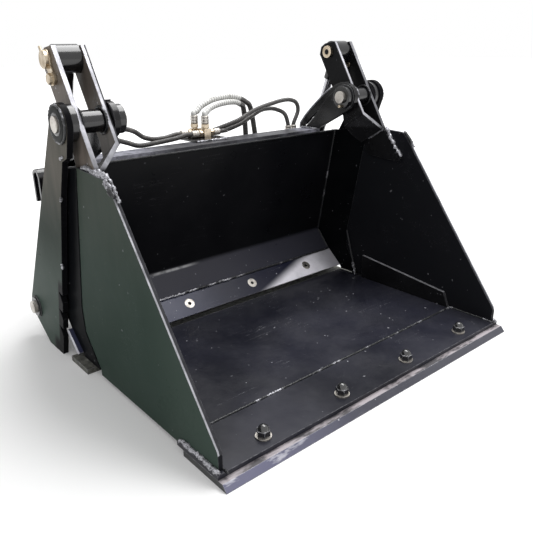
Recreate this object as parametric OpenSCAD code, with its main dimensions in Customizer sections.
// Four-in-one combination bucket for a compact loader.
// The rear half carries the loader's attach plate, the clam half swings on two
// pivot pins, and a hydraulic cylinder on each side opens and closes it.
// X runs along the cutting edge, +Y towards the loader, +Z up, in millimetres.
// Outlines are drawn as (distance behind the cutting edge's tip, height above
// the ground); the origin is the middle of the footprint, on the ground.

/* [Clam] */
// Width over the two side plates
bucket_w = 1100; // [900:10:1300]
// Thickness of the side plates
side_t = 12; // [8:1:16]
// Thickness of the floor sheet and of the base lip
floor_t = 12; // [8:1:16]
// Distance of the side plates' nose behind the tip
nose_y = 39; // [36:1:60]
// Height of the side plates' upright nose
nose_h = 49; // [30:1:70]
// Distance of the side plates' upper front corner behind the tip
crest_y = 429; // [390:1:460]
// Height of the side plates' upper front corner
crest_z = 594; // [560:1:604]
// Depth of the inner gussets
gusset_t = 10; // [6:1:14]

/* [Cutting edge] */
// Thickness of the bolt-on cutting edge
edge_t = 16; // [12:1:20]
// Depth of the bolt-on cutting edge
edge_depth = 165; // [140:1:180]
// Depth of the bevel along its front
bevel_depth = 14; // [8:1:24]
// Overhang of the edge past each side plate
edge_over = 9; // [4:1:20]
// Depth of the base lip that the edge is bolted to
lip_depth = 160; // [145:1:200]
// Distance of the bolts behind the tip
bolt_y = 70; // [60:1:80]
// Spacing of the bolts
bolt_pitch = 266; // [200:1:270]

/* [Ears] */
// Thickness of the clam's ear plates
ear_t = 12; // [8:1:16]
// Clear width between the two ears of one side
ear_gap = 64; // [64:1:72]
// Lean of the ears towards the loader, in degrees
ear_tilt = 31; // [29:0.5:33]
// Distance from the pivot pin to the cylinder's upper pin along the ear
ear_reach = 176; // [170:1:184]

/* [Pins and pivots] */
// Radius of the pivot pins and cylinder pins
pin_r = 20; // [16:0.5:22]
// Distance of the pivot behind the tip
pivot_y = 608; // [600:1:616]
// Height of the pivot
pivot_z = 708; // [700:1:716]
// Radius of the pivot bosses
boss_r = 45; // [40:1:47]

/* [Mouldboard] */
// Thickness of the mouldboard sheet
sheet_t = 8; // [5:1:10]
// Distance of the mouldboard's top edge behind the tip
mold_y = 751; // [745:1:760]
// Height of the mouldboard's top edge
mold_z = 575; // [565:1:580]
// Depth of the wings between the mouldboard and the clam
wing_w = 160; // [155:1:165]
// Thickness of the wing plates
wing_t = 12; // [8:1:16]
// Thickness of the outer end plates
plate_t = 16; // [12:1:20]
// Depth of the top flange
flange_d = 78; // [70:1:90]
// Thickness of the top flange
flange_t = 12; // [8:1:14]

/* [Rear blade] */
// Width of the rear blade across its slope
blade_w = 84; // [80:1:86]
// Thickness of the rear blade
blade_t = 16; // [12:1:18]
// Spacing of the blade screws
screw_pitch = 270; // [200:1:280]
// Depth of the grab teeth
tooth_d = 26; // [12:1:30]
// Spacing of the grab teeth
tooth_pitch = 62; // [46:1:66]

/* [Cylinders] */
// Outer radius of the barrels
barrel_r = 32; // [28:1:34]
// Radius of the chromed rods
rod_r = 15; // [12:1:18]
// Distance of the cylinders' lower pin behind the tip
low_y = 985; // [978:1:990]
// Height of the cylinders' lower pin
low_z = 105; // [100:1:115]

/* [Attach plate] */
// Width of the attach plate
attach_w = 990; // [900:2:1020]
// Thickness of the attach plate
attach_t = 10; // [8:1:12]
// Distance of the attach plate's front face behind the tip
attach_y = 1030; // [1026:1:1040]
// Depth of the attach plate's hooked top and its foot
hook_d = 55; // [48:1:70]

/* [Hydraulics] */
// Outer radius of the jumper hoses
jumper_r = 7.5; // [6:0.5:8.5]
// Outer radius of the supply hoses
supply_r = 9.5; // [8:0.5:11]

/* [Hidden] */
$fn = 64;

// Overrun of cuts, running clearance of pins, and play between plates
cut = 2;
run = 0.05;
play = 2;
// Whole depth, from the tip to the hook of the attach plate
reach = attach_y + hook_d;
half_w = bucket_w / 2;
// Height of the floor's top face
floor_z = edge_t + floor_t;

// Mouldboard's section: top edge, bend, and the seam along the blade
mold_bend = [834, 169];
mold_seam = [771, 98];
mold_path = [[mold_y, mold_z], mold_bend, mold_seam];

// Side plates
nose_corner = 9;
crest_round = 14;
skirt_z = 14;
seam_gap = 2;
seam_top = [mold_y - wing_w, 602];
seam_bend = [mold_bend[0] - wing_w, 199];
seam_low = [seam_bend[0] - 3, 123];
seam_foot = [598, floor_z + 4];
floor_end = 700;
lip_y = 30;
lip_end = lip_y + lip_depth;
heel_y = [650, 760];
heel_over = 20;
gusset_y = [195, 582];
gusset_z = [50, 89];
gusset_foot = 22;

// Ears, in their own frame: x across, v towards the loader, u along the ear
ear_front = -28;
ear_rear = 52;
ear_top = 32;
ear_cut = 18;
ear_bend = -73;
flap_drop = 70;
flap_flare = 24;
ear_root = 264;
root_step = 22;
ear_out = half_w - side_t;
ear_mid = ear_out - ear_t;
ear_in = ear_mid - ear_gap;
top_v = 12;
tube_wall = 8;
tube_gap = 0.3;

// Rear half
wing_x = half_w - side_t + play;
packer_t = 6;
packer_in = 24;
plate_x = wing_x + wing_t + packer_t;
plate_out = plate_x + plate_t;
flange_lap = 4;
flange_in = 4;
eye_rim = 5;
plate_step = [[585, 628], [616, 616]];
plate_waist = [660, 513];
plate_front = [742, 250];
plate_tooth = [800, 44];
plate_heel = [[816, 0], [917, 0]];
tooth_top = 36;
tooth_share = 0.45;
boss_out = 4;
collar_r = 31;
collar_l = 8;
hinge_t = 16;
hinge_x = ear_in - ear_t - play - hinge_t;
hinge_boss_l = 20;
hinge_boss_r = 37;
hinge_boss_x = hinge_x - hinge_boss_l;
hinge_back = [[64, 0], [34, 18], [4, 50], [-26, 84], [-52, 114]];
rib_t = 16;
rib_x = ear_in - ear_t - rib_t - play * 2;
rib_drop = 70;
rib_foot = 48;
pin_out = 8;
pin_in = 10;
keeper_r = 5.5;
keeper_l = 9;
keeper_d = 30;

// Blade: direction up its slope, and the direction square to it, downwards
blade_a = 40.7;
blade_up = [cos(blade_a), sin(blade_a)];
blade_dn = [sin(blade_a), -cos(blade_a)];
blade_over = 14;
screw_r = 10;
screw_head_r = 17.5;
screw_head_h = 9;
socket_r = 7;
socket_d = 6;
nut_h = 16;
nut_r = 17.3;
screw_count = 4;
bolt_count = 4;
dome_r = 13.5;
washer_r = 20;
washer_t = 3.5;
screw_tip = 3;
screw_off = -24;

// Flag of the cylinder's upper pin
flag_t = 6;
flag_w = 15;
flag_l = 52;
head_l = 9;
head_r = 22;
nipple_r = 4;
nipple_l = 13;
flag_bolt_r = 8;
flag_head_r = 13.9;
flag_head_h = 9;
flag_washer_r = 17;
flag_washer_t = 3;
bolt_tip = 4;

// Cylinders: line from the lower pin to the upper pin
top_pin = ear_yz(ear_reach, top_v);
low_pin = [low_y, low_z];
cyl_v = top_pin - low_pin;
cyl_l = norm(cyl_v);
cyl_a = atan2(-cyl_v[0], cyl_v[1]);
cyl_x = ear_in + ear_gap / 2;
eye_play = 8.4;
eye_wall = 7;
eye_gap = 1;
base_eye_r = 34;
base_eye_w = 58;
base_solid = 18;
barrel_wall = 7;
gland_s = 505;
gland_l = 25;
gland_r = barrel_r + 3;
rod_s = 205;
piston_l = 28;
neck_r = 21;
neck_l = 62;
port_r = 11;
port_l = 14;
spacer_r = 30;

// Attach plate
attach_foot = 106;
attach_top = 500;
hook_rise = 30;
hook_drop = 112;
hook_round = 18;
slot_w = 62;
slot_r = 13;
slot_x = 385;
slot_in = 8;

// Hoses
shelf_t = 6;
shelf_x = [-62, 62];
shelf_y = [mold_y + 40, mold_y + 156];
tee_r = 13;
tee_arm_r = 9.5;
tee_arm = 30;
tee_z = mold_z + flange_t + shelf_t + tee_r;
tee_a = [-4, mold_y + 134];
tee_b = [14, mold_y + 97];
ferrule_r = 11;
ferrule_l = 24;
big_ferrule_r = 12;
big_ferrule_l = 24;
block_w = 58;
block_d = 40;
block_h = 34;
block_z = 520;
block_y = mold_y + 99;
port_x = [14, 42];
stub_r = 9;
stub_l = 22;
sides = 8;
// Routes: across, behind the tip, height
jump_ra = [[152, 850, 634], [200, 850, 653], [255, 850, 670], [319, 850, 682], [363, 850, 688],
    [400, 850, 687], [430, 850, 674], [438, 850, 644]];
jump_rb = [[128, 876, 604], [182, 872, 619], [231, 872, 640], [273, 872, 657], [309, 871, 661],
    [345, 868, 656], [378, 858, 638]];
jump_la = [[-128, 872, 602], [-176, 862, 604], [-213, 858, 614], [-245, 856, 635], [-280, 855, 646],
    [-340, 853, 650], [-396, 851, 640]];
jump_lb = [[-110, 842, 600], [-180, 840, 595], [-240, 840, 593], [-279, 842, 606], [-325, 846, 620],
    [-368, 849, 618]];
supply_a = [[12, 889, 674], [32, 895, 687], [64, 900, 699], [100, 905, 707], [136, 910, 710],
    [172, 915, 710], [209, 920, 703], [247, 925, 687], [273, 928, 662]];
supply_b = [[26, 856, 671], [48, 866, 681], [86, 878, 689], [129, 887, 693], [174, 896, 692],
    [206, 906, 683], [230, 915, 664]];
coupler_x = [246, 290];
coupler_y = 926;
coupler_z = 520;
coupler_r = 15;
coupler_nut_r = 19;
coupler_nut_h = 24;
coupler_len = 62;
bracket_t = 8;
bracket_x = [216, 320];
bracket_y = 956;

// A point of the ear's frame, as (distance behind the tip, height)
function ear_yz(u, v) = [pivot_y + u * sin(ear_tilt) + v * cos(ear_tilt),
    pivot_z + u * cos(ear_tilt) - v * sin(ear_tilt)];
function unit(v) = v / norm(v);
function left_of(d) = [-d[1], d[0]];
// Face of a bent sheet, moved by t to the left of its path with mitred corners
function shifted(p, t) = [for (i = [0 : len(p) - 1])
    let (a = i == 0 ? unit(p[1] - p[0]) : unit(p[i] - p[i - 1]))
    let (b = i == len(p) - 1 ? a : unit(p[i + 1] - p[i]))
    let (m = left_of(a) + left_of(b))
    p[i] + m * (t / (1 + a * b))];
function turned(p) = [for (i = [len(p) - 1 : -1 : 0]) p[i]];
// Closed outline of a bent sheet of thickness t
function bent(p, t) = concat(p, turned(shifted(p, t)));
// A path with each inner corner rounded by an arc of radius r
function rounded(p, r, n) = concat([p[0]], [for (i = [1 : len(p) - 2])
    let (a = unit(p[i] - p[i - 1]), b = unit(p[i + 1] - p[i]))
    let (turn = acos(max(-1, min(1, a * b))), s = sign(a[0] * b[1] - a[1] * b[0]))
    let (c = p[i] - a * r * tan(turn / 2) + left_of(a) * s * r)
    for (k = [0 : n]) let (w = turn * k / n)
    c - left_of(a) * s * r * cos(w) + a * r * sin(w)], [p[len(p) - 1]]);
// Point where the line from q touches the circle of radius r about c
function touch(q, c, r, s) = let (d = norm(c - q), w = asin(r / d), e = unit(c - q))
    q + sqrt(d * d - r * r) * [e[0] * cos(w) - s * e[1] * sin(w), e[1] * cos(w) + s * e[0] * sin(w)];
// Smooth path through the points of a hose
function knot(p, i) = p[max(0, min(len(p) - 1, i))];
function smooth(p, n) = concat([for (i = [0 : len(p) - 2]) for (k = [0 : n - 1])
    let (t = k / n, a = knot(p, i - 1), b = p[i], c = p[i + 1], d = knot(p, i + 2))
    (2 * b + (c - a) * t + (2 * a - 5 * b + 4 * c - d) * t * t
    + (3 * b - a - 3 * c + d) * t * t * t) / 2], [p[len(p) - 1]]);

// A plate square to X, from x, of thickness t
module plate(x, t) {
    translate([x, -reach / 2, 0])
        rotate([90, 0, 90])
            linear_extrude(t)
                children();
}
// A round bar along X about the line through q
module bar(q, r, x, l) {
    translate([x, q[0] - reach / 2, q[1]])
        rotate([0, 90, 0])
            cylinder(r = r, h = l);
}
// Both sides of the bucket
module pair() {
    children();
    mirror([1, 0, 0])
        children();
}
// A block from one corner to the other
module block(a, b) {
    translate([a[0], a[1] - reach / 2, a[2]])
        cube(b - a);
}
// The frame of the right ear, with its pivot at the origin
module ear_frame() {
    translate([0, pivot_y - reach / 2, pivot_z])
        rotate([-ear_tilt, 0, 0])
            children();
}
// The frame of a cylinder on the side s, with +Z up its axis from the lower pin
module cyl_frame(s) {
    translate([s * cyl_x, low_y - reach / 2, low_z])
        rotate([cyl_a, 0, 0])
            children();
}
// A round hose along a smooth route
module hose(p, r, n) {
    q = smooth(p, n);
    m = len(q);
    pts = [for (i = [0 : m - 1])
        let (t = i == 0 ? unit(p[1] - p[0]) : i == m - 1 ? unit(p[len(p) - 1] - p[len(p) - 2])
            : unit(q[i + 1] - q[i - 1]))
        let (a = unit(cross(t, [0, 1, 0])), b = cross(a, t))
        for (k = [0 : sides - 1]) let (w = 360 * k / sides)
        q[i] + r * (a * cos(w) + b * sin(w))];
    quads = [for (i = [0 : m - 2]) for (k = [0 : sides - 1])
        let (a = i * sides + k, b = i * sides + (k + 1) % sides)
        each [[a, b, b + sides], [a, b + sides, a + sides]]];
    ends = [[for (k = [sides - 1 : -1 : 0]) k], [for (k = [0 : sides - 1]) (m - 1) * sides + k]];
    translate([0, -reach / 2, 0])
        polyhedron(points = pts, faces = concat(quads, ends));
}

// Clam: side plates with a sloped front, a rounded nose and a long rear seam
module side_outline() {
    polygon([[nose_y, floor_z], [nose_y, floor_z + nose_h - nose_corner],
        [nose_y + nose_corner / 3, floor_z + nose_h],
        [crest_y - crest_round / 2, crest_z - crest_round],
        [crest_y + crest_round / 4, crest_z - crest_round / 4], [crest_y + crest_round, crest_z],
        seam_top, seam_bend, seam_low, seam_foot, [seam_foot[0], skirt_z],
        [lip_end + play, skirt_z], [lip_end + play, floor_z]]);
}
module side_plates() {
    color([0.08, 0.09, 0.08])
        pair()
            plate(half_w - side_t, side_t)
                side_outline();
}
module floor_sheet() {
    color([0.07, 0.07, 0.08])
        block([side_t - half_w, lip_end, edge_t], [half_w - side_t, floor_end, floor_z]);
}
module lip_holes() {
    for (i = [0 : bolt_count - 1])
        translate([(i - (bolt_count - 1) / 2) * bolt_pitch, bolt_y - reach / 2, -cut])
            cylinder(r = screw_r + run, h = floor_z + 2 * cut);
}
module base_lip() {
    color([0.07, 0.07, 0.08])
        difference() {
            block([-half_w - edge_over, lip_y, edge_t], [half_w + edge_over, lip_end, floor_z]);
            lip_holes();
        }
}
module bolt_head(extra) {
    cylinder(r1 = screw_head_r + extra, r2 = screw_r + extra, h = screw_head_h);
}
module cutting_edge() {
    color([0.10, 0.10, 0.10])
        difference() {
            plate(-half_w - edge_over, bucket_w + 2 * edge_over)
                polygon([[0, 0], [edge_depth, 0], [edge_depth, edge_t], [bevel_depth, edge_t]]);
            lip_holes();
            for (i = [0 : bolt_count - 1])
                translate([(i - (bolt_count - 1) / 2) * bolt_pitch, bolt_y - reach / 2, 0])
                    bolt_head(run);
        }
}
module at_bolts(z) {
    for (i = [0 : bolt_count - 1])
        translate([(i - (bolt_count - 1) / 2) * bolt_pitch, bolt_y - reach / 2, z])
            children();
}
module edge_bolts() {
    color([0.25, 0.25, 0.25])
        at_bolts(0)
            union() {
                bolt_head(0);
                cylinder(r = screw_r, h = floor_z + washer_t + nut_h / 2);
            }
}
module edge_washers() {
    color([0.80, 0.66, 0.30])
        at_bolts(floor_z)
            difference() {
                cylinder(r = washer_r, h = washer_t);
                translate([0, 0, -cut])
                    cylinder(r = screw_r + run, h = washer_t + 2 * cut);
            }
}
module edge_nuts() {
    color([0.10, 0.10, 0.11])
        at_bolts(floor_z + washer_t)
            difference() {
                union() {
                    cylinder(r = nut_r, h = nut_h, $fn = 6);
                    translate([0, 0, nut_h])
                        intersection() {
                            sphere(r = dome_r);
                            cylinder(r = dome_r, h = dome_r);
                        }
                }
                translate([0, 0, -cut])
                    cylinder(r = screw_r + run, h = nut_h / 2 + cut + run);
            }
}
module heel_bar() {
    color([0.10, 0.10, 0.10])
        block([-half_w - heel_over, heel_y[0], 0], [half_w + heel_over, heel_y[1], edge_t]);
}
module inner_gussets() {
    color([0.07, 0.07, 0.08])
        pair()
            plate(half_w - side_t - gusset_t, gusset_t)
                polygon([[gusset_y[0], floor_z], [gusset_y[0] + gusset_foot, floor_z + gusset_z[0]],
                    [gusset_y[1], floor_z + gusset_z[1]], [gusset_y[1], floor_z]]);
}

// Ear outlines in (v, u), turned into the bucket's frame
module ear_outline(low) {
    polygon(concat([[ear_front, ear_reach + ear_top - ear_cut], [top_v, ear_reach + ear_top],
        [ear_rear - ear_cut, ear_reach + ear_top], [ear_rear, ear_reach + ear_top - ear_cut],
        [ear_rear, ear_bend / 2], [ear_rear + flap_flare, ear_bend - flap_drop / 2]], low));
}
module ear_solid(x, t, low) {
    ear_frame()
        translate([x, 0, 0])
            rotate([90, 0, 90])
                linear_extrude(t)
                    ear_outline(low);
}
module ear_bores(r) {
    bar([pivot_y, pivot_z], r, ear_in - ear_t - cut, ear_out - ear_in + ear_t + 2 * cut);
    bar(top_pin, r, ear_in - ear_t - cut, ear_out - ear_in + ear_t + 2 * cut);
}
module outer_ears() {
    color([0.09, 0.09, 0.10])
        pair()
            difference() {
                ear_solid(ear_mid, ear_t, [[ear_rear + flap_flare, ear_bend - 2 * flap_drop + root_step],
                    [ear_front, -ear_root], [ear_front - root_step, -ear_root],
                    [ear_front, ear_bend - flap_drop]]);
                ear_bores(pin_r + run);
                bar(flag_bolt_at(), flag_bolt_r + run, ear_mid - cut, ear_t + 2 * cut);
            }
}
// The inner ear is bent outwards below the pivot and meets the outer one
module inner_ears() {
    color([0.09, 0.09, 0.10])
        pair()
            difference() {
                intersection() {
                    ear_solid(ear_in - ear_t, ear_gap + ear_t, [[ear_rear + flap_flare,
                        ear_bend - flap_drop], [ear_front, ear_bend - flap_drop]]);
                    ear_frame()
                        translate([0, ear_rear + 2 * flap_flare, 0])
                            rotate([90, 0, 0])
                                linear_extrude(ear_rear - ear_front + 3 * flap_flare)
                                    polygon(bent([[ear_in, ear_reach + 2 * ear_top],
                                        [ear_in, ear_bend], [ear_mid, ear_bend - ear_gap]], -ear_t));
                }
                ear_bores(pin_r + run);
            }
}
module pivot_tubes() {
    color([0.10, 0.10, 0.11])
        pair()
            difference() {
                bar([pivot_y, pivot_z], pin_r + tube_wall, ear_in, ear_gap);
                bar([pivot_y, pivot_z], pin_r + run, ear_in - cut, ear_gap + 2 * cut);
            }
}
function flag_bolt_at() = ear_yz(ear_reach - flag_l, top_v);
module top_pins() {
    color([0.80, 0.67, 0.36])
        pair()
            difference() {
                union() {
                    bar(top_pin, pin_r, ear_in - ear_t - keeper_l, ear_out - ear_in + ear_t + flag_t + keeper_l);
                    bar(top_pin, head_r, ear_out + flag_t, head_l);
                    ear_frame()
                        translate([ear_out + flag_t + head_l / 2, top_v, ear_reach + head_r - play])
                            cylinder(r = nipple_r, h = nipple_l + play);
                }
                bar(top_pin, pin_r / 3, ear_in - ear_t - keeper_l - cut, keeper_l + cut);
            }
}
module pin_flags() {
    color([0.80, 0.67, 0.36])
        pair()
            difference() {
                union() {
                    bar(top_pin, head_r + play, ear_out, flag_t);
                    bar(flag_bolt_at(), flag_w, ear_out, flag_t);
                    ear_frame()
                        translate([ear_out, top_v - flag_w + play, ear_reach - flag_l])
                            cube([flag_t, 2 * (flag_w - play), flag_l]);
                }
                bar(top_pin, pin_r + run, ear_out - cut, flag_t + 2 * cut);
                bar(flag_bolt_at(), flag_bolt_r + run, ear_out - cut, flag_t + 2 * cut);
            }
}
module flag_bolts() {
    color([0.84, 0.72, 0.40])
        pair()
            union() {
                bar(flag_bolt_at(), flag_bolt_r, ear_mid - bolt_tip, ear_t + flag_t + bolt_tip);
                bar(flag_bolt_at(), flag_washer_r, ear_out + flag_t, flag_washer_t);
                translate([ear_out + flag_t + flag_washer_t, flag_bolt_at()[0] - reach / 2, flag_bolt_at()[1]])
                    rotate([0, 90, 0])
                        cylinder(r = flag_head_r, h = flag_head_h, $fn = 6);
            }
}

// Rear half: bent mouldboard, flange, wings and outer end plates
module mouldboard() {
    color([0.05, 0.05, 0.06])
        difference() {
            mold_sheet();
            under_flange();
        }
}
module mold_sheet() {
    plate(-wing_x, 2 * wing_x)
        polygon(bent(rounded(mold_path, hook_round, 6), sheet_t));
}
// Room for the top flange above the sheet and the ribs
module under_flange() {
    block([-bucket_w, mold_y - flange_lap, mold_z], [bucket_w, mold_y + 2 * flange_d, mold_z + flange_t]);
}
module top_flange() {
    color([0.07, 0.07, 0.08])
        block([-hinge_x - hinge_t - flange_in, mold_y - flange_lap, mold_z],
            [hinge_x + hinge_t + flange_in, mold_y - flange_lap + flange_d, mold_z + flange_t]);
}
module wing_plates() {
    color([0.07, 0.08, 0.07])
        pair()
            plate(wing_x, wing_t)
                polygon([seam_top + [seam_gap, 0], seam_bend + [seam_gap, 0],
                    seam_low + [seam_gap, 0], [seam_foot[0] + seam_gap, floor_z + play],
                    blade_low - [play * 4, 0] + [0, floor_z + play - blade_low[1]], blade_low,
                    mold_seam, mold_bend + [sheet_t, 0], [mold_y + sheet_t, mold_z],
                    [mold_y - flange_lap, mold_z]]);
}
blade_low = mold_seam - blade_w * blade_up;
function tooth_at(i) = plate_front + unit(plate_tooth - plate_front) * (tooth_top + i * tooth_pitch);
tooth_in = left_of(unit(plate_tooth - plate_front));
module end_outline() {
    pv = [pivot_y, pivot_z];
    eye = boss_r + eye_rim;
    down = unit(low_pin - pv);
    polygon(concat([touch(plate_step[0], pv, eye, 1)], plate_step, [plate_waist, plate_front],
        [for (i = [0 : 2]) each [tooth_at(i), tooth_at(i) + tooth_in * tooth_d,
            tooth_at(i + tooth_share)]],
        [plate_tooth, plate_heel[0], plate_heel[1], touch(plate_heel[1], low_pin, eye, -1),
        low_pin + left_of(down) * eye, pv + left_of(down) * eye]));
}
module end_plates() {
    color([0.13, 0.14, 0.12])
        pair()
            difference() {
                union() {
                    plate(plate_x, plate_t)
                        end_outline();
                    bar([pivot_y, pivot_z], boss_r + eye_rim, plate_x, plate_t);
                    bar(low_pin, boss_r + eye_rim, plate_x, plate_t);
                }
                bar([pivot_y, pivot_z], boss_r, plate_x - cut, plate_t + 2 * cut);
                bar(low_pin, pin_r + run, plate_x - cut, plate_t + 2 * cut);
            }
}
// Packers that hold the end plates off the wings, set back behind the teeth
module end_packers() {
    back = (packer_in + tooth_d) * tooth_in;
    color([0.06, 0.06, 0.07])
        pair()
            plate(wing_x + wing_t, packer_t)
                polygon([plate_waist + back, plate_front + back, mold_bend + [sheet_t, 0],
                    [mold_y + sheet_t, mold_z - packer_in]]);
}
module end_bosses() {
    boss_len = plate_out + boss_out - wing_x;
    color([0.08, 0.08, 0.09])
        pair()
            difference() {
                bar([pivot_y, pivot_z], boss_r, wing_x, boss_len);
                bar([pivot_y, pivot_z], pin_r + run, wing_x - cut, boss_len + 2 * cut);
            }
}
module lower_collars() {
    color([0.08, 0.08, 0.09])
        pair()
            difference() {
                bar(low_pin, collar_r, plate_out, collar_l);
                bar(low_pin, pin_r + run, plate_out - cut, collar_l + 2 * cut);
            }
}
module hinge_ears() {
    pv = [pivot_y, pivot_z];
    foot = [mold_y - flange_lap, mold_z + flange_t];
    heel = [for (q = hinge_back) foot + q];
    color([0.08, 0.08, 0.09])
        pair()
            difference() {
                union() {
                    plate(hinge_x, hinge_t)
                            polygon(concat([foot], heel, [touch(heel[len(heel) - 1], pv, boss_r, -1),
                            pv, touch(foot, pv, boss_r, 1)]));
                    bar(pv, boss_r, hinge_x, hinge_t);
                }
                bar(pv, pin_r + run, hinge_x - cut, hinge_t + 2 * cut);
            }
}
module hinge_bosses() {
    color([0.08, 0.08, 0.09])
        pair()
            difference() {
                bar([pivot_y, pivot_z], hinge_boss_r, hinge_boss_x, hinge_boss_l);
                bar([pivot_y, pivot_z], pin_r + run, hinge_boss_x - cut, hinge_boss_l + 2 * cut);
            }
}

// Rear blade: a flat bar on the slope, held by countersunk socket screws
module on_blade() {
    for (i = [0 : screw_count - 1])
        translate([screw_off + (i - (screw_count - 1) / 2) * screw_pitch, mold_seam[0] - reach / 2, mold_seam[1]])
            rotate([blade_a, 0, 0])
                translate([0, -blade_w / 2, 0])
                    children();
}
module rear_blade() {
    color([0.14, 0.14, 0.15])
        difference() {
            plate(-half_w - blade_over, bucket_w + 2 * blade_over)
                polygon([mold_seam, blade_low, blade_low + blade_t * blade_dn
                    + blade_t / 4 * blade_up, mold_seam + blade_t * blade_dn]);
            on_blade()
                union() {
                    translate([0, 0, -blade_t - cut])
                        cylinder(r = screw_r + run, h = blade_t + 2 * cut);
                    translate([0, 0, -screw_head_h])
                        cylinder(r1 = screw_r + run, r2 = screw_head_r + run, h = screw_head_h);
                }
        }
}
module blade_screws() {
    color([0.72, 0.72, 0.72])
        on_blade()
            difference() {
                union() {
                    translate([0, 0, -blade_t - nut_h - screw_tip])
                        cylinder(r = screw_r, h = blade_t + nut_h + screw_tip - screw_head_h);
                    translate([0, 0, -screw_head_h])
                        cylinder(r1 = screw_r, r2 = screw_head_r, h = screw_head_h);
                }
                translate([0, 0, -socket_d])
                    cylinder(r = socket_r, h = socket_d + cut, $fn = 6);
            }
}
module blade_nuts() {
    color([0.55, 0.55, 0.55])
        on_blade()
            difference() {
                translate([0, 0, -blade_t - nut_h])
                    cylinder(r = nut_r, h = nut_h, $fn = 6);
                translate([0, 0, -blade_t - nut_h - cut])
                    cylinder(r = screw_r + run, h = nut_h + 2 * cut);
            }
}

// Pins
module main_pins() {
    color([0.80, 0.68, 0.38])
        pair()
            bar([pivot_y, pivot_z], pin_r, hinge_boss_x - pin_in,
                plate_out + boss_out + pin_out - hinge_boss_x + pin_in);
}
module pin_keepers() {
    color([0.80, 0.68, 0.38])
        pair()
            bar([pivot_y, pivot_z - keeper_d], keeper_r, hinge_boss_x - keeper_l, keeper_l);
}
module cylinder_pins() {
    color([0.80, 0.68, 0.38])
        pair()
            bar(low_pin, pin_r, rib_x - play, plate_out + collar_l + pin_in - rib_x + play);
}
module pin_spacers() {
    color([0.10, 0.10, 0.11])
        pair() {
            spacer(rib_x + rib_t, cyl_x - base_eye_w / 2 - eye_gap);
            spacer(cyl_x + base_eye_w / 2 + eye_gap, plate_x);
        }
}
module spacer(a, b) {
    difference() {
        bar(low_pin, spacer_r, a, b - a);
        bar(low_pin, pin_r + run, a - cut, b - a + 2 * cut);
    }
}

// Ribs from the mouldboard to the attach plate
module rib_outline() {
    back = shifted(rounded(mold_path, hook_round, 6), sheet_t);
    polygon(concat(back, [[low_y - rib_foot, low_z - rib_foot], [low_y, low_z - rib_foot],
        [attach_y, attach_foot], [attach_y, attach_top - rib_drop],
        [mold_y - flange_lap + flange_d, mold_z]]));
}
module rear_ribs() {
    color([0.08, 0.08, 0.09])
        difference() {
            union() {
                pair()
                    plate(rib_x, rib_t)
                        rib_outline();
                plate(-rib_t / 2, rib_t)
                    rib_outline();
            }
            under_flange();
            pair()
                bar(low_pin, pin_r + run, rib_x - cut, rib_t + 2 * cut);
        }
}
module attach_plate() {
    color([0.07, 0.07, 0.08])
        difference() {
            plate(-attach_w / 2, attach_w)
                polygon(bent(turned(rounded([[reach, attach_foot], [attach_y, attach_foot],
                    [attach_y, attach_top], [attach_y + hook_rise / 2, attach_top + hook_rise],
                    [reach, attach_top + hook_rise / 2], [reach, attach_top + hook_rise - hook_drop]],
                    hook_round, 5)), attach_t));
            pair()
                lock_slot();
        }
}
module lock_slot() {
    translate([slot_x, attach_y + attach_t + slot_in + slot_r - reach / 2, attach_foot - cut]) {
        for (e = [-1, 1])
            translate([e * (slot_w / 2 - slot_r), 0, 0])
                cylinder(r = slot_r, h = attach_t + 2 * cut);
        translate([slot_r - slot_w / 2, -slot_r, 0])
            cube([slot_w - 2 * slot_r, 2 * slot_r, attach_t + 2 * cut]);
    }
}

// Hydraulics: two tees on a shelf feed both cylinders
module hose_shelf() {
    color([0.08, 0.08, 0.09])
        block([shelf_x[0], shelf_y[0], mold_z + flange_t],
            [shelf_x[1], shelf_y[1], mold_z + flange_t + shelf_t]);
}
module tee(q) {
    translate([q[0], q[1] - reach / 2, tee_z])
        union() {
            translate([-tee_r, -tee_r, -tee_r])
                cube([2 * tee_r, 2 * tee_r, 2 * tee_r]);
            translate([-tee_arm, 0, 0])
                rotate([0, 90, 0])
                    cylinder(r = tee_arm_r, h = 2 * tee_arm);
            cylinder(r = tee_arm_r, h = tee_arm);
        }
}
module hose_tees() {
    color([0.80, 0.66, 0.30]) {
        tee(tee_a);
        tee(tee_b);
    }
}
module side_ferrule(q, s) {
    translate([q[0] + s * tee_arm, q[1] - reach / 2, tee_z])
        rotate([0, s * 90, 0])
            cylinder(r = ferrule_r, h = ferrule_l);
}
module top_ferrule(q) {
    translate([q[0], q[1] - reach / 2, tee_z + tee_arm])
        cylinder(r = big_ferrule_r, h = big_ferrule_l);
}
module hose_ferrules() {
    color([0.75, 0.75, 0.75]) {
        for (q = [tee_a, tee_b]) {
            side_ferrule(q, 1);
            side_ferrule(q, -1);
            top_ferrule(q);
        }
    }
}
// Start of a hose at a tee, and its end above a port
function leave(q, s) = [[q[0] + s * (tee_arm + ferrule_l), q[1], tee_z],
    [q[0] + s * (tee_arm + 2 * ferrule_l), q[1], tee_z]];
function port_at(s, i) = [s * (rib_x - port_x[i]), block_y, block_z + block_h + stub_l];
function arrive(s, i) = [port_at(s, i) + [0, 0, ferrule_l], port_at(s, i)];
function rise(q) = [[q[0], q[1], tee_z + tee_arm + big_ferrule_l],
    [q[0], q[1], tee_z + tee_arm + big_ferrule_l + supply_r]];
function fall(i) = [[coupler_x[i], coupler_y, coupler_z + 2 * coupler_nut_h],
    [coupler_x[i], coupler_y, coupler_z + coupler_nut_h]];
module jumper(q, way, s, i) {
    color([0.12, 0.12, 0.12])
        hose(concat(leave(q, s), way, arrive(s, i)), jumper_r, 2);
}
module jumper_right_a() { jumper(tee_a, jump_ra, 1, 0); }
module jumper_right_b() { jumper(tee_b, jump_rb, 1, 1); }
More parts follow.
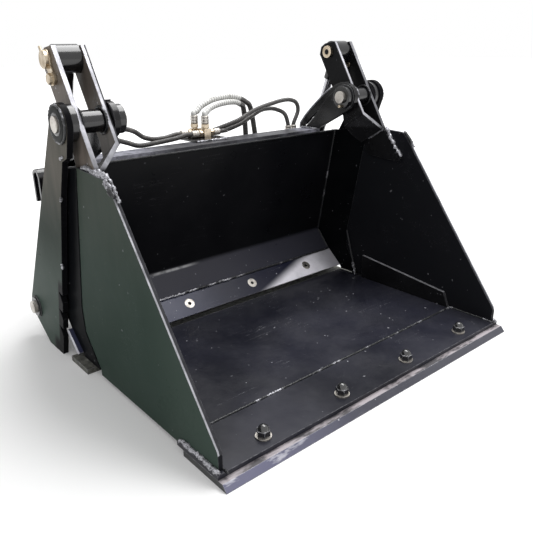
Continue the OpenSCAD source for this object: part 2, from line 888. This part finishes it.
module jumper_left_a() { jumper(tee_a, jump_la, -1, 0); }
module jumper_left_b() { jumper(tee_b, jump_lb, -1, 1); }
module supply_hose_a() {
    color([0.15, 0.15, 0.15])
        hose(concat(rise(tee_a), supply_a, fall(1)), supply_r, 2);
}
module supply_hose_b() {
    color([0.15, 0.15, 0.15])
        hose(concat(rise(tee_b), supply_b, fall(0)), supply_r, 2);
}
module port_blocks() {
    color([0.10, 0.10, 0.11])
        pair()
            block([rib_x - block_w, block_y - block_d / 2, block_z],
                [rib_x, block_y + block_d / 2, block_z + block_h]);
}
module port_fittings() {
    color([0.80, 0.66, 0.30])
        for (s = [-1, 1])
            for (i = [0, 1])
                translate([s * (rib_x - port_x[i]), block_y - reach / 2, block_z + block_h])
                    cylinder(r = stub_r, h = stub_l);
}
module coupler_bracket() {
    color([0.08, 0.08, 0.09])
        difference() {
            block([bracket_x[0], mold_y + sheet_t + play * 6, coupler_z - bracket_t],
                [bracket_x[1], bracket_y, coupler_z]);
            mold_sheet();
            for (x = coupler_x)
                translate([x, coupler_y - reach / 2, coupler_z - bracket_t - cut])
                    cylinder(r = coupler_r + run, h = bracket_t + 2 * cut);
        }
}
module couplers() {
    color([0.70, 0.70, 0.70])
        for (x = coupler_x)
            translate([x, coupler_y - reach / 2, coupler_z])
                union() {
                    cylinder(r = coupler_nut_r, h = coupler_nut_h, $fn = 6);
                    translate([0, 0, -coupler_len])
                        cylinder(r = coupler_r, h = coupler_len);
                }
}

// Cylinders: barrel with its lower eye and gland, and the rod with its upper eye
module barrel(s) {
    color([0.08, 0.08, 0.09])
        cyl_frame(s)
            difference() {
                union() {
                    translate([0, 0, base_eye_r - play])
                        cylinder(r = barrel_r, h = gland_s - base_eye_r + play);
                    translate([0, 0, gland_s - gland_l - port_r])
                        rotate([-90, 0, 0])
                            cylinder(r = port_r, h = barrel_r + port_l);
                    translate([0, 0, base_eye_r + base_solid + port_r])
                        rotate([-90, 0, 0])
                            cylinder(r = port_r, h = barrel_r + port_l);
                }
                rotate([0, 90, 0])
                    cylinder(r = base_eye_r, h = 2 * base_eye_w, center = true);
                translate([0, 0, base_eye_r + base_solid])
                    cylinder(r = barrel_r - barrel_wall, h = gland_s);
            }
}
module gland(s) {
    color([0.10, 0.10, 0.11])
        cyl_frame(s)
            translate([0, 0, gland_s])
                difference() {
                    cylinder(r = gland_r, h = gland_l);
                    translate([0, 0, -cut])
                        cylinder(r = rod_r + run, h = gland_l + 2 * cut);
                }
}
module base_eye(s) {
    color([0.08, 0.08, 0.09])
        cyl_frame(s)
            rotate([0, 90, 0])
                difference() {
                    cylinder(r = base_eye_r, h = base_eye_w, center = true);
                    cylinder(r = pin_r + run, h = base_eye_w + 2 * cut, center = true);
                }
}
eye_bore = pin_r + eye_play;
eye_r = eye_bore + eye_wall;
eye_w = ear_gap - 2 * eye_gap;
module rod(s) {
    color([0.85, 0.85, 0.87])
        cyl_frame(s)
            union() {
                translate([0, 0, rod_s])
                    cylinder(r = rod_r, h = cyl_l - eye_r - neck_l - rod_s);
                translate([0, 0, rod_s])
                    cylinder(r = barrel_r - barrel_wall - run, h = piston_l);
            }
}
module rod_eye(s) {
    color([0.09, 0.09, 0.10])
        cyl_frame(s)
            translate([0, 0, cyl_l])
                difference() {
                    union() {
                        rotate([0, 90, 0])
                            cylinder(r = eye_r, h = eye_w, center = true);
                        translate([0, 0, -eye_r - neck_l])
                            cylinder(r = neck_r, h = eye_r + neck_l);
                    }
                    rotate([0, 90, 0])
                        cylinder(r = eye_bore, h = eye_w + 2 * cut, center = true);
                }
}
module barrel_left() { barrel(-1); }
module gland_left() { gland(-1); }
module base_eye_left() { base_eye(-1); }
module rod_left() { rod(-1); }
module rod_eye_left() { rod_eye(-1); }
module barrel_right() { barrel(1); }
module gland_right() { gland(1); }
module base_eye_right() { base_eye(1); }
module rod_right() { rod(1); }
module rod_eye_right() { rod_eye(1); }

side_plates();
floor_sheet();
base_lip();
cutting_edge();
edge_bolts();
edge_washers();
edge_nuts();
heel_bar();
inner_gussets();
outer_ears();
inner_ears();
pivot_tubes();
top_pins();
pin_flags();
flag_bolts();
mouldboard();
top_flange();
wing_plates();
end_plates();
end_packers();
end_bosses();
lower_collars();
hinge_ears();
hinge_bosses();
rear_blade();
blade_screws();
blade_nuts();
main_pins();
pin_keepers();
cylinder_pins();
pin_spacers();
rear_ribs();
attach_plate();
hose_shelf();
hose_tees();
hose_ferrules();
jumper_right_a();
jumper_right_b();
jumper_left_a();
jumper_left_b();
supply_hose_a();
supply_hose_b();
port_blocks();
port_fittings();
coupler_bracket();
couplers();
barrel_left();
gland_left();
base_eye_left();
rod_left();
rod_eye_left();
barrel_right();
gland_right();
base_eye_right();
rod_right();
rod_eye_right();
